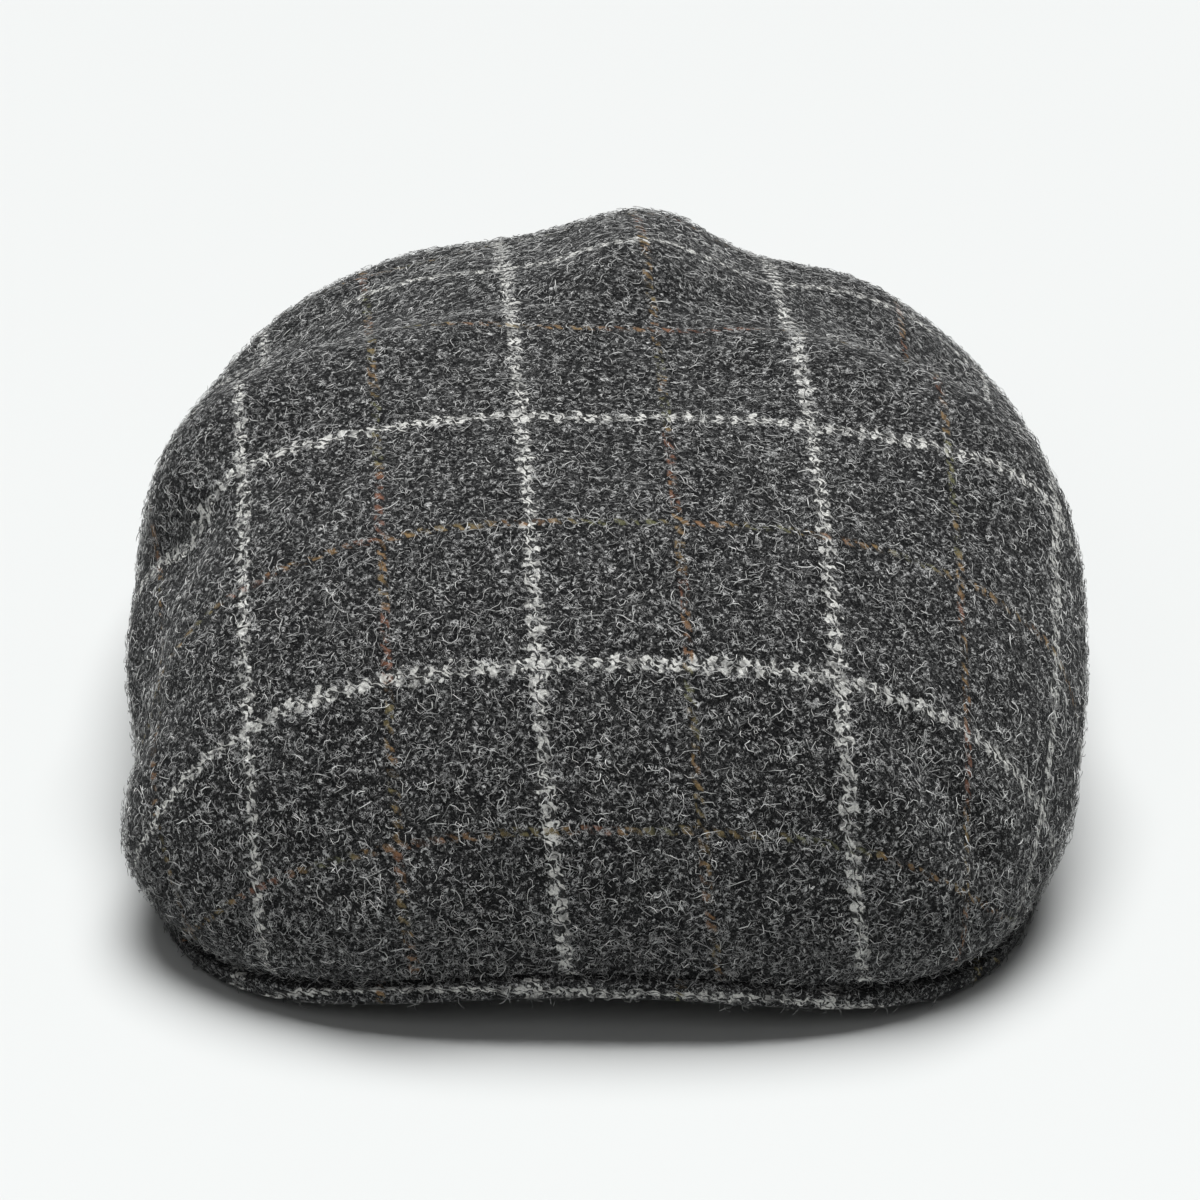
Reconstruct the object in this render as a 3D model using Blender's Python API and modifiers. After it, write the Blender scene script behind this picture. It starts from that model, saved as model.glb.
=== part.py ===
"""A wool flat cap: a full crown that is drawn forward and sewn down on a short stiff peak.

Metres, +Z up. The cap stands on z = 0 with the peak towards -Y, and the origin lies under the
middle of its length and width. Left and right are the wearer's, so left is +X.
"""

import math

import bmesh
import bpy
import numpy as np

# Driving dimensions
CAP_LENGTH = 0.272  # peak's rim to the back of the crown
CAP_WIDTH = 0.207  # over the crown's shoulders
CAP_HEIGHT = 0.097  # to the middle of the crown
WIDEST_PLACE = 0.108  # from the rim back to where the crown is widest
CLOTH_THICKNESS = 0.0022  # one layer of tweed with its backing

PEAK_WIDTH = 0.191  # across the corners of the peak
PEAK_DEPTH = 0.055  # rim to inner edge, on the centre line
PEAK_TAIL = 0.070  # rim to the ends of the peak at the temples
PEAK_THICKNESS = 0.004  # board with cloth on both faces
PEAK_ARCH = 0.0105  # underside of the rim above the ground, on the centre line
ARCH_WIDTH = 0.176  # stretch of the peak that stands clear of the ground
ARCH_EASE = 1.5  # exponent of the arch, over 1 so that it meets the ground softly
PEAK_RISE = 0.006  # how much higher the inner edge lies than the rim
RIM_SHOW = 0.0025  # strip of the peak left bare in front of the crown
RIM_ROUNDING = 0.0012
RIM_CORNER = 50  # degrees, the least angle that the rounding takes off

HEM_WIDTH = 0.177  # across the opening for the head, over the cloth
HEM_SET_BACK = 0.009  # how far the crown stands out past the hem at the back
HEM_NARROWING = 2.0  # how slowly the lower edge draws in from the peak's end to the hem
HEM_UPRIGHT = 0.004  # lowest stretch of the side panels, which stands upright
HEM_STRIP = 0.0015  # narrow ring along the hem, so that it stands flat on the ground
SEAM_HEIGHT = 0.042  # side panels at the back, where they are tallest

PIECE_GAP = 0.0004  # between the side panels, and between them and the peak
SEAM_GAP = 0.0007  # between the top panel and the side panels
EDGE_GAP = 0.0006  # between the crown's front edge and the arched peak
SEAM_STRIP = 0.0012  # narrow ring beside each seam, so that both walls meet it square

# Shape of the plan curves: 2 is an ellipse, and more is squarer
FRONT_SQUARE = 3.4
BACK_SQUARE = 2.3

# Where the folds take effect
HOLLOW_MIDDLE_UP = 0.032  # folds lean away from this height on the cap's middle line
FOLD_FADE = 0.012  # height above the crown's edge over which the folds come in

# Mesh steps
FRONT_STEPS = 20  # columns from the centre of the front to the peak's end
BACK_STEPS = 28  # columns from there to the back seam
CROWN_RINGS = 14
RING_CROWDING = 1.25  # over 1, the rings lie closer towards the crown's edge
SIDE_RINGS = 4
PEAK_RINGS = 5
RIB_SAMPLES = 240
PLAN_SAMPLES = 4000

# Sections of the crown from the front round to the back.
# turn: share of the way round, by length of the widest outline
# shoulder: height at which the crown is widest, as a share of CAP_HEIGHT above its edge
# seam: height of the seam with the side panel, as a share of SEAM_HEIGHT above its edge
# full, flat: exponents of the section, how far out it stays high and how flat its top is
SECTION_COLUMNS = ("turn", "shoulder", "seam", "full", "flat")
SECTIONS = (
    (0.00, 0.01, 0.00, 2.60, 2.20),
    (0.14, 0.01, 0.00, 2.60, 2.20),
    (0.25, 0.09, 0.00, 2.55, 2.10),
    (0.36, 0.26, 0.02, 2.60, 2.50),
    (0.46, 0.40, 0.50, 2.90, 3.20),
    (0.52, 0.41, 0.64, 2.10, 1.95),
    (0.60, 0.41, 0.75, 1.65, 1.36),
    (0.75, 0.36, 0.90, 1.72, 1.34),
    (0.88, 0.30, 0.98, 1.68, 1.30),
    (1.00, 0.26, 1.00, 1.68, 1.30),
)

# Folds, dents and ridges, each along a line from its start to its end.
# across and along are shares of half the width and half the length, up is a share of the height,
# spread is its half width as a share of half the cap's width, and out is its height
# as a share of the cap's height, less than 0 for a dent.
FOLD_COLUMNS = (
    "start_across", "start_along", "start_up",
    "end_across", "end_along", "end_up", "spread", "out",
)
FOLDS = {
    "ridge down the back": (0.06, 0.14, 0.97, 0.08, 0.56, 0.84, 0.16, 0.078),
    "valley beside the ridge": (0.34, 0.34, 0.86, 0.36, 0.60, 0.72, 0.13, -0.035),
    "valley at the back of the right shoulder": (-0.80, 0.34, 0.62, -0.42, 0.46, 0.80, 0.09, -0.040),
    "hump behind that valley": (-0.70, 0.52, 0.55, -0.44, 0.60, 0.66, 0.12, 0.025),
    "hump behind the left shoulder": (0.46, 0.44, 0.76, 0.66, 0.36, 0.70, 0.15, 0.030),
    "flat of the left shoulder": (0.78, 0.18, 0.78, 0.98, -0.06, 0.64, 0.17, -0.075),
    "flat of the right shoulder": (-0.84, 0.12, 0.74, -0.98, -0.20, 0.58, 0.19, -0.065),
    "dent behind the right corner of the peak": (-1.00, -0.56, 0.36, -0.90, -0.44, 0.62, 0.18, -0.110),
    "bulge over the right corner of the peak": (-0.94, -0.72, 0.20, -0.96, -0.66, 0.28, 0.20, 0.035),
    "fold over the right temple": (-0.93, -0.34, 0.58, -0.80, -0.28, 0.80, 0.10, -0.025),
    "hollow in the top": (0.12, -0.24, 0.96, 0.30, -0.12, 0.96, 0.22, -0.020),
    "crease down the left front corner": (0.60, -0.82, 0.62, 0.78, -0.82, 0.24, 0.08, 0.018),
    "pucker above the rim": (-0.48, -0.95, 0.26, -0.36, -0.96, 0.28, 0.09, 0.016),
}

# Colours of the tweed, as the surface looks from a distance
CLOTH_COLOUR = (0.060, 0.062, 0.062, 1.0)
PEAK_COLOUR = (0.052, 0.054, 0.055, 1.0)
CLOTH_ROUGHNESS = 0.95

HALF_LENGTH = CAP_LENGTH / 2
HALF_WIDTH = CAP_WIDTH / 2
WIDEST_ALONG = WIDEST_PLACE - HALF_LENGTH
TAIL_ALONG = PEAK_TAIL - HALF_LENGTH
EDGE_LIFT = PEAK_THICKNESS + EDGE_GAP
HOLLOW_MIDDLE = np.array((0.0, 0.0, HOLLOW_MIDDLE_UP))
FAR_BELOW = np.array((0.0, 0.0, -CAP_LENGTH))


def clear_scene():
    for thing in list(bpy.data.objects):
        bpy.data.objects.remove(thing, do_unlink=True)


def smooth(share):
    """0 to 1, starting and ending level."""
    share = np.clip(share, 0.0, 1.0)
    return share * share * (3.0 - 2.0 * share)


def mix(first, second, share):
    return first + (second - first) * share


def plan_point(clock, half_width, front_reach, back_reach):
    """A point of an egg-shaped plan curve. clock is 0 at the front and pi at the back."""
    ahead = math.cos(clock)
    square = FRONT_SQUARE if ahead > 0 else BACK_SQUARE
    across = half_width * math.sin(clock) ** (2 / square)
    if ahead > 0:
        along = WIDEST_ALONG - front_reach * ahead ** (2 / square)
    else:
        along = WIDEST_ALONG + back_reach * (-ahead) ** (2 / square)
    return np.array((across, along))


def rim_point(clock):
    """Outer edge of the peak."""
    return plan_point(clock, PEAK_WIDTH / 2, WIDEST_PLACE, WIDEST_PLACE)


def shoulder_point(clock):
    """Where the crown reaches furthest out."""
    return plan_point(clock, HALF_WIDTH, WIDEST_PLACE - RIM_SHOW, HALF_LENGTH - WIDEST_ALONG)


def tail_clock():
    """Where the peak ends and the side panel starts."""
    reach = (WIDEST_ALONG - TAIL_ALONG) / (WIDEST_PLACE - RIM_SHOW)
    return math.acos(reach ** (FRONT_SQUARE / 2))


def foot_point(clock):
    """Lower edge of the crown: on the peak in front, and the hem at the sides and back."""
    edge = PEAK_WIDTH / 2 - RIM_SHOW
    start = tail_clock()
    narrowing = smooth((clock - start) / (math.pi / 2 - start) / HEM_NARROWING)
    half_width = mix(edge, HEM_WIDTH / 2, narrowing)
    back_reach = HALF_LENGTH - WIDEST_ALONG - HEM_SET_BACK
    return plan_point(clock, half_width, WIDEST_PLACE - RIM_SHOW, back_reach)


def plan_lengths():
    """Clock values with the length of the widest outline up to each."""
    clocks = np.linspace(0.0, math.pi, PLAN_SAMPLES)
    points = np.array([shoulder_point(clock) for clock in clocks])
    steps = np.hypot(*np.diff(points, axis=0).T)
    return clocks, np.concatenate(([0.0], np.cumsum(steps)))


def half_ring():
    """(clock, turn) of each column from the front to the back, with one exactly at the peak's end."""
    clocks, lengths = plan_lengths()
    tail = np.interp(tail_clock(), clocks, lengths)
    front = np.linspace(0.0, tail, FRONT_STEPS + 1)
    back = np.linspace(tail, lengths[-1], BACK_STEPS + 1)[1:]
    places = np.concatenate((front, back))
    return list(zip(np.interp(places, lengths, clocks), places / lengths[-1]))


def section_value(column, turn):
    index = SECTION_COLUMNS.index(column)
    turns = [row[0] for row in SECTIONS]
    values = [row[index] for row in SECTIONS]
    return ease_between(turn, turns, values)


def ease_between(place, places, values):
    """Reads a smooth curve through the table's values, with its slopes from the neighbours."""
    slopes = np.gradient(np.array(values), np.array(places))
    last = len(places) - 2
    i = min(max(int(np.searchsorted(places, place)) - 1, 0), last)
    width = places[i + 1] - places[i]
    s = (place - places[i]) / width
    rise = s * s * (3 - 2 * s)
    return (
        mix(values[i], values[i + 1], rise)
        + slopes[i] * width * s * (1 - s) ** 2
        - slopes[i + 1] * width * s * s * (1 - s)
    )


def arch_height(across):
    """Underside of the peak's rim above the ground."""
    share = min(abs(across) / (ARCH_WIDTH / 2), 1.0)
    return PEAK_ARCH * (1 - share * share) ** ARCH_EASE


def edge_height(clock):
    """Height of the crown's front edge, which lies on the peak."""
    if clock > tail_clock():
        return EDGE_LIFT
    return arch_height(foot_point(clock)[0]) + EDGE_LIFT


def seam_height(clock, turn):
    """Lower edge of the top panel: on the peak in front, and at the side seams behind."""
    if clock <= tail_clock():
        return edge_height(clock)
    return EDGE_LIFT + max(section_value("seam", turn), 0.0) * (SEAM_HEIGHT - EDGE_LIFT)


def rib(clock, turn, foot_up):
    """Points of one section, from the middle of the crown out to its shoulder and down to foot_up."""
    shoulder = shoulder_point(clock)
    foot = foot_point(clock)
    lift = edge_height(clock)
    shoulder_up = lift + section_value("shoulder", turn) * CAP_HEIGHT
    full = section_value("full", turn)
    flat = section_value("flat", turn)
    out = np.sin(np.linspace(0.0, math.pi / 2, RIB_SAMPLES))
    heights = mix(shoulder_up, CAP_HEIGHT, (1 - out**full) ** (1 / flat))
    upper = np.column_stack((np.outer(out, shoulder), heights))
    down = np.linspace(0.0, 1.0, RIB_SAMPLES)[1:]
    upright = HEM_UPRIGHT / (shoulder_up - foot_up) if clock > tail_clock() else 0.0
    swing = smooth((1 - down - upright) / (1 - upright))[:, None]
    lower = np.column_stack((mix(foot, shoulder, swing), mix(shoulder_up, foot_up, down)))
    return np.concatenate((upper, lower))


def path_lengths(path):
    steps = np.linalg.norm(np.diff(path, axis=0), axis=1)
    return np.concatenate(([0.0], np.cumsum(steps)))


def along_path(path, places):
    """Points at the given lengths along a path."""
    lengths = path_lengths(path)
    return np.column_stack([np.interp(places, lengths, path[:, axis]) for axis in range(3)])


def length_at_height(path, height):
    """How far along the path it comes down to this height."""
    return float(np.interp(-height, -path[:, 2], path_lengths(path)))


def fold_points(values):
    """A fold's start, its end, its half width and its height, in metres."""
    fold = dict(zip(FOLD_COLUMNS, values))
    ends = [
        np.array((
            fold[end + "_across"] * HALF_WIDTH,
            fold[end + "_along"] * HALF_LENGTH,
            fold[end + "_up"] * CAP_HEIGHT,
        ))
        for end in ("start", "end")
    ]
    return ends[0], ends[1], fold["spread"] * HALF_WIDTH, fold["out"] * CAP_HEIGHT


def folded(points):
    """The points moved out or in by every fold near them, and held at the ground and the peak."""
    points = np.asarray(points, float)
    moved = points.copy()
    outward = points - HOLLOW_MIDDLE
    outward /= np.linalg.norm(outward, axis=1)[:, None]
    hold = smooth((points[:, 2] - EDGE_LIFT) / FOLD_FADE)
    for values in FOLDS.values():
        start, end, spread, out = fold_points(values)
        run = end - start
        share = np.clip((points - start) @ run / (run @ run), 0.0, 1.0)
        away = np.linalg.norm(points - (start + share[:, None] * run), axis=1)
        moved += (out * hold * np.exp(-((away / spread) ** 2)))[:, None] * outward
    return moved


def sheet_object(name, rows, inside, collection, material):
    """Bends a flat grid to the given rows of points, joins what meets, and faces it away from inside."""
    count = len(rows)
    width = len(rows[0])
    mesh = bmesh.new()
    bmesh.ops.create_grid(mesh, x_segments=width - 1, y_segments=count - 1, size=1.0)
    places = sorted(mesh.verts, key=lambda v: (round(v.co.y, 5), round(v.co.x, 5)))
    for index, vertex in enumerate(places):
        vertex.co = rows[index // width][index % width]
    bmesh.ops.remove_doubles(mesh, verts=mesh.verts, dist=1e-6)
    mesh.normal_update()
    facing = sum(
        float(np.dot(face.normal, np.array(face.calc_center_median()) - inside))
        for face in mesh.faces
    )
    if facing < 0:
        bmesh.ops.reverse_faces(mesh, faces=mesh.faces)
    data = bpy.data.meshes.new(name)
    mesh.to_mesh(data)
    mesh.free()
    data.materials.append(material)
    data.shade_smooth()
    sheet = bpy.data.objects.new(name, data)
    collection.objects.link(sheet)
    return sheet


def give_thickness(piece, thickness):
    wall = piece.modifiers.new("wall", "SOLIDIFY")
    wall.thickness = thickness
    wall.offset = -1.0
    wall.use_even_offset = True


def mirrored(points):
    return np.asarray(points) * (-1.0, 1.0, 1.0)


def crown_column(clock, turn):
    """One column of the top panel, from the middle of the crown to its lower edge."""
    path = rib(clock, turn, edge_height(clock) if clock <= tail_clock() else 0.0)
    border = length_at_height(path, seam_height(clock, turn))
    shares = 1 - (1 - np.linspace(0.0, 1.0, CROWN_RINGS + 1)) ** RING_CROWDING
    return along_path(path, np.append(shares * (border - SEAM_STRIP), border))


def side_column(clock, turn):
    """One column of a side panel, from just below the seam down to the hem."""
    path = rib(clock, turn, 0.0)
    top = length_at_height(path, seam_height(clock, turn) - SEAM_GAP)
    hem = path_lengths(path)[-1]
    below = np.linspace(top + SEAM_STRIP, hem - HEM_STRIP, SIDE_RINGS + 1)
    return along_path(path, np.concatenate(((top,), below, (hem,))))


def make_crown_top(collection, material):
    half = [crown_column(clock, turn) for clock, turn in half_ring()]
    other = [mirrored(column) for column in half[-2::-1]]
    columns = [folded(column) for column in half + other]
    rows = np.array(columns).transpose(1, 0, 2)
    crown = sheet_object("crown_top", rows, HOLLOW_MIDDLE, collection, material)
    give_thickness(crown, CLOTH_THICKNESS)
    return crown


def make_side_panel(name, side, collection, material):
    """side is 1 for the wearer's left and -1 for the right."""
    columns = [side_column(clock, turn) for clock, turn in half_ring()[FRONT_STEPS:]]
    columns[-1] = columns[-1] + (PIECE_GAP, 0.0, 0.0)
    if side < 0:
        columns = [mirrored(column) for column in columns]
    rows = np.array([folded(column) for column in columns]).transpose(1, 0, 2)
    panel = sheet_object(name, rows, HOLLOW_MIDDLE, collection, material)
    give_thickness(panel, CLOTH_THICKNESS)
    return panel


def peak_point(across_share, depth_share, clocks):
    """A point of the peak's top face. across_share runs from -1 to 1 along the rim."""
    rim = rim_point(float(np.interp(abs(across_share), np.linspace(0, 1, len(clocks)), clocks)))
    inner_half = rim_point(clocks[-1])[0] - CLOTH_THICKNESS - RIM_SHOW - PIECE_GAP
    inner_along = mix(PEAK_DEPTH, PEAK_TAIL, across_share**2) - HALF_LENGTH - PIECE_GAP
    inner = np.array((inner_half * abs(across_share), inner_along))
    across, along = mix(rim, inner, depth_share)
    arch = arch_height(across)
    up = arch * (1 + PEAK_RISE / PEAK_ARCH * depth_share) + PEAK_THICKNESS
    return math.copysign(across, across_share), along, up


def make_peak(collection, material):
    clocks, lengths = plan_lengths()
    end_clock = math.acos(
        ((WIDEST_ALONG - TAIL_ALONG + PIECE_GAP) / WIDEST_PLACE) ** (FRONT_SQUARE / 2)
    )
    tail = np.interp(end_clock, clocks, lengths)
    steps = np.interp(np.linspace(0.0, tail, FRONT_STEPS + 1), lengths, clocks)
    shares = np.linspace(-1.0, 1.0, 2 * FRONT_STEPS + 1)
    rows = [
        [peak_point(share, depth, steps) for share in shares]
        for depth in np.linspace(0.0, 1.0, PEAK_RINGS + 1)
    ]
    peak = sheet_object("peak", rows, FAR_BELOW, collection, material)
    give_thickness(peak, PEAK_THICKNESS)
    rounding = peak.modifiers.new("rounded rim", "BEVEL")
    rounding.width = RIM_ROUNDING
    rounding.segments = 2
    rounding.limit_method = "ANGLE"
    rounding.angle_limit = math.radians(RIM_CORNER)
    return peak


def make_cloth(name, colour):
    material = bpy.data.materials.new(name)
    material.use_nodes = True
    shader = material.node_tree.nodes["Principled BSDF"]
    shader.inputs["Base Color"].default_value = colour
    shader.inputs["Roughness"].default_value = CLOTH_ROUGHNESS
    shader.inputs["Metallic"].default_value = 0.0
    return material


def make_cap():
    clear_scene()
    cap = bpy.data.collections.new("wool_flat_cap")
    bpy.context.scene.collection.children.link(cap)
    make_crown_top(cap, make_cloth("crown tweed", CLOTH_COLOUR))
    make_side_panel("side_panel_left", 1, cap, make_cloth("left side tweed", CLOTH_COLOUR))
    make_side_panel("side_panel_right", -1, cap, make_cloth("right side tweed", CLOTH_COLOUR))
    make_peak(cap, make_cloth("peak tweed", PEAK_COLOUR))


make_cap()
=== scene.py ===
# %% [markdown]
# # A wool flat cap
# The cap is four sewn pieces: a top panel drawn forward and sewn down on a stiff peak, and two
# side panels that meet at the back. We load the engineering model as a fixed frame and dress each
# piece in tweed. Its size is kept, so that we can see at the end that the looks didn't change it.

# %% Load the frame
import math

import bmesh
import bpy
import numpy as np
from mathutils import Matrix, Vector, noise
from mathutils.bvhtree import BVHTree


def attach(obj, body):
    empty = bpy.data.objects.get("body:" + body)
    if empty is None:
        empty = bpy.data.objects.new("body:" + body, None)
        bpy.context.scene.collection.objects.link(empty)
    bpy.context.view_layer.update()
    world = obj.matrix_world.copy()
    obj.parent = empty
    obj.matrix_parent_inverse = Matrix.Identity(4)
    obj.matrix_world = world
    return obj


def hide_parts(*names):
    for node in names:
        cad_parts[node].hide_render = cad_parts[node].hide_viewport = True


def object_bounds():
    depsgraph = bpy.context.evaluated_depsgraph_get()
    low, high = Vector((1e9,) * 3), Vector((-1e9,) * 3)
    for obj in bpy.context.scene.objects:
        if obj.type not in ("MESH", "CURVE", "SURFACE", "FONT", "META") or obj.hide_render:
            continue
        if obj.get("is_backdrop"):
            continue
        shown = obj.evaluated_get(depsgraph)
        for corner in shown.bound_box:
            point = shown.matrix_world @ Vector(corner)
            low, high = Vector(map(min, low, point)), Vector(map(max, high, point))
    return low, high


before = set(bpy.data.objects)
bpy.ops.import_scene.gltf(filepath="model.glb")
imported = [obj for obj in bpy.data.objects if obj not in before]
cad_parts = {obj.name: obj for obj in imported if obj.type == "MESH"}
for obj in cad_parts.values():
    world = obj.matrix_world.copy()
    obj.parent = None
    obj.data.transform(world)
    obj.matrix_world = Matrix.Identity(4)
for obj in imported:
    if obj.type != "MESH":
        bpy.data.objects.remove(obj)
frame_box = [list(corner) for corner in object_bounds()]
print("frame", [[round(value, 4) for value in corner] for corner in frame_box])

# %% [markdown]
# The picture was taken from the front, 30 degrees above the cap, with a long lens from a little
# over a metre away. A long lens keeps the back of the cap nearly as large as its front.

# %% Camera
CAMERA_ELEVATION = math.radians(30)
CAMERA_YAW = math.radians(-1.0)
CAMERA_DISTANCE = 1.25
CAMERA_AIM = Vector((0.0, -0.019, 0.036))
LENS = 173.25

looking = Vector((
    math.sin(CAMERA_YAW) * math.cos(CAMERA_ELEVATION),
    math.cos(CAMERA_YAW) * math.cos(CAMERA_ELEVATION),
    -math.sin(CAMERA_ELEVATION),
))
bpy.ops.object.camera_add(location=CAMERA_AIM - CAMERA_DISTANCE * looking)
camera = bpy.context.object
camera.name = "camera"
camera.rotation_euler = looking.to_track_quat("-Z", "Y").to_euler()
camera.data.lens = LENS
camera.data.sensor_width = 36
camera.data.clip_start = 0.01
bpy.context.scene.camera = camera
bpy.context.scene.view_settings.view_transform = "Standard"
print("camera at", [round(value, 3) for value in camera.location])

# %% [markdown]
# ## Shape of the cloth
# The frame's pieces are coarse facets. A soft cloth wants the same walls with many more faces. It
# could be modelled again from nothing, but then it might miss its seams. So each piece is copied,
# and its loose triangles are joined and turned back into quads.

# %% Copy a piece of the frame
FACET_ANGLE = math.radians(60)


def only(piece):
    bpy.ops.object.select_all(action="DESELECT")
    piece.select_set(True)
    bpy.context.view_layer.objects.active = piece


def copied(node, name):
    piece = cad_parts[node].copy()
    piece.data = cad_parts[node].data.copy()
    piece.name = name
    piece.data.name = name
    piece.parent = None
    bpy.context.scene.collection.objects.link(piece)
    only(piece)
    bpy.ops.object.transform_apply(location=True, rotation=True, scale=True)
    bpy.ops.object.mode_set(mode="EDIT")
    bpy.ops.mesh.select_all(action="SELECT")
    bpy.ops.mesh.remove_doubles(threshold=0.00001)
    bpy.ops.mesh.tris_convert_to_quads(face_threshold=FACET_ANGLE, shape_threshold=FACET_ANGLE)
    bpy.ops.mesh.normals_make_consistent(inside=False)
    bpy.ops.object.mode_set(mode="OBJECT")
    print(name, "copied with", len(piece.data.polygons), "faces")
    return piece


crown = copied("crown_top", "crown_cloth")
left_side = copied("side_panel_left", "left_side_cloth")
right_side = copied("side_panel_right", "right_side_cloth")
peak = copied("peak", "peak_cloth")

# %% [markdown]
# A windowpane check is woven into flat cloth, which is then cut, sewn and pulled over the crown.
# If a pattern were projected from above, it would smear down the steep sides. A side panel is a
# band that lies flat without much stretch, so it is unwrapped, as a tailor would lay it out. The
# unwrap is scaled to metres and turned so that its grain runs as it does on the cap. Seams go
# along the cut edges, which gives one island for the outside, one for the inside and a narrow
# strip for each side of the cut edge. It is done before the rounding, which then rounds the map
# as well.

# %% Unwrap a side panel and lay its grain
CUT_EDGE_ANGLE = math.radians(60)
SIDE_X = 0.098  # half the cap's width where a side panel's grain starts
UNWRAP_ROUNDS = 40


def marked_cut_edges(mesh):
    for edge in mesh.edges:
        if len(edge.link_faces) == 2 and edge.calc_face_angle() > CUT_EDGE_ANGLE:
            edge.seam = True


def islands(mesh):
    """Groups of faces that the seams part."""
    left = set(mesh.faces)
    while left:
        group = []
        waiting = [left.pop()]
        while waiting:
            face = waiting.pop()
            group.append(face)
            for edge in face.edges:
                if edge.seam:
                    continue
                for other in edge.link_faces:
                    if other in left:
                        left.remove(other)
                        waiting.append(other)
        yield group


def flat_area(face, uv):
    corners = [loop[uv].uv for loop in face.loops]
    pairs = zip(corners, corners[1:] + corners[:1])
    return abs(sum(a.x * b.y - b.x * a.y for a, b in pairs)) / 2


print("helpers for the unwrap ready")

# %% [markdown]
# Each island comes out in its own scale, place and turn. Its true area gives the scale, and two
# places on the cap, one ahead of the other, give the place and the turn.

# %% Lay the grain of the side panels
def lay_grain(piece, start, towards, turn):
    """Unwraps the piece in metres, with start at (0, 0) and the way towards the second point
    turned to that many degrees from +u."""
    only(piece)
    bpy.ops.object.mode_set(mode="EDIT")
    mesh = bmesh.from_edit_mesh(piece.data)
    marked_cut_edges(mesh)
    bmesh.update_edit_mesh(piece.data)
    bpy.ops.mesh.select_all(action="SELECT")
    bpy.ops.uv.unwrap(
        method="MINIMUM_STRETCH", margin=0.0, iterations=UNWRAP_ROUNDS, correct_aspect=False,
    )
    bpy.ops.object.mode_set(mode="OBJECT")
    mesh = bmesh.new()
    mesh.from_mesh(piece.data)
    uv = mesh.loops.layers.uv.active
    groups = list(islands(mesh))
    for group in groups:
        area = sum(face.calc_area() for face in group)
        scale = math.sqrt(area / sum(flat_area(face, uv) for face in group))
        loops = [loop for face in group for loop in face.loops]
        near, far = (
            min(loops, key=lambda loop: (loop.vert.co - Vector(place)).length)[uv].uv * scale
            for place in (start, towards)
        )
        angle = math.radians(turn) - math.atan2((far - near).y, (far - near).x)
        for loop in loops:
            place = loop[uv].uv * scale - near
            loop[uv].uv = (
                place.x * math.cos(angle) - place.y * math.sin(angle),
                place.x * math.sin(angle) + place.y * math.cos(angle),
            )
    print(piece.name, "laid out in islands of", [len(group) for group in groups], "faces")
    mesh.to_mesh(piece.data)
    mesh.free()


for piece, side, turn in ((left_side, 1, 180), (right_side, -1, 0)):
    lay_grain(piece, (side * SIDE_X, 0.0, 0.02), (side * SIDE_X, -0.05, 0.015), turn)

# %% [markdown]
# ## Rounding
# Subdivision turns the facets into soft cloth. Without more it would also shrink the cut edges
# away from their seams, so those edges are creased. The peak's rim is rolled, so only its sharper
# edges are.

# %% Round the pieces
EDGE_CREASE = 0.75


def rounded(piece, levels, crease_angle):
    """Creases the cut edges of the cloth, then subdivides."""
    only(piece)
    mesh = bmesh.new()
    mesh.from_mesh(piece.data)
    layers = mesh.edges.layers.float
    crease = layers.get("crease_edge") or layers.new("crease_edge")
    for edge in mesh.edges:
        if len(edge.link_faces) == 2 and edge.calc_face_angle() > crease_angle:
            edge[crease] = EDGE_CREASE
    mesh.to_mesh(piece.data)
    mesh.free()
    finer = piece.modifiers.new("finer", "SUBSURF")
    finer.levels = levels
    finer.render_levels = levels
    bpy.ops.object.modifier_apply(modifier=finer.name)
    bpy.ops.object.shade_smooth()
    print(piece.name, len(piece.data.polygons), "faces")


for piece in (crown, left_side, right_side):
    rounded(piece, 2, math.radians(60))
rounded(peak, 2, math.radians(70))

# %% [markdown]
# Pressed cloth is never quite even. A few shallow creases and dimples are pushed into the crown
# where it was drawn forward, each along a short line and fading out on both sides, and a slow
# unevenness lies over all of it. They stop short of the sewn edges, so no seam opens.

# %% Creases, dimples and slow unevenness of the crown
HOLLOW = Vector((0.0, 0.0, 0.032))  # a place inside the cap; outwards is away from it
# from, to, half width and height in metres; less than 0 is a dent
CREASES = {
    "crease down to the left front corner": (
        (0.062, -0.110, 0.060), (0.081, -0.116, 0.030), 0.0045, -0.0026,
    ),
    "roll beside that crease": (
        (0.053, -0.116, 0.056), (0.069, -0.122, 0.030), 0.0065, 0.0018,
    ),
    "ridge low on the right front": (
        (-0.050, -0.132, 0.024), (-0.031, -0.131, 0.034), 0.004, 0.0022,
    ),
    "dimple on the right of the top": (
        (0.020, 0.004, 0.098), (0.034, 0.016, 0.094), 0.011, -0.0014,
    ),
    "hollow over the right temple": (
        (-0.097, -0.038, 0.054), (-0.086, -0.050, 0.070), 0.008, -0.0030,
    ),
    "lip before that hollow": (
        (-0.094, -0.062, 0.050), (-0.085, -0.066, 0.066), 0.006, 0.0014,
    ),
    "notch behind the right corner": (
        (-0.095, -0.082, 0.038), (-0.087, -0.091, 0.054), 0.006, -0.0024,
    ),
    "fold at the right of the back": (
        (-0.078, 0.058, 0.056), (-0.050, 0.062, 0.071), 0.006, -0.0042,
    ),
    "lip of the fold at the back": (
        (-0.078, 0.045, 0.064), (-0.052, 0.048, 0.078), 0.006, 0.0016,
    ),
}
UNEVEN = 0.0006  # height of the slow unevenness
SLOW, QUICK = 38.0, 90.0  # its waves in one metre
FRONT_OF_SEAM = -0.07  # forward of this the crown reaches down to the peak
PEAK_FADE = (0.016, 0.034)  # heights over which the forms fade in above the peak
SEAM_FADE = (0.045, 0.062)  # and above the seam of the side panels


def soft_step(value, low, high):
    share = np.clip((value - low) / (high - low), 0.0, 1.0)
    return share * share * (3 - 2 * share)


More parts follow.
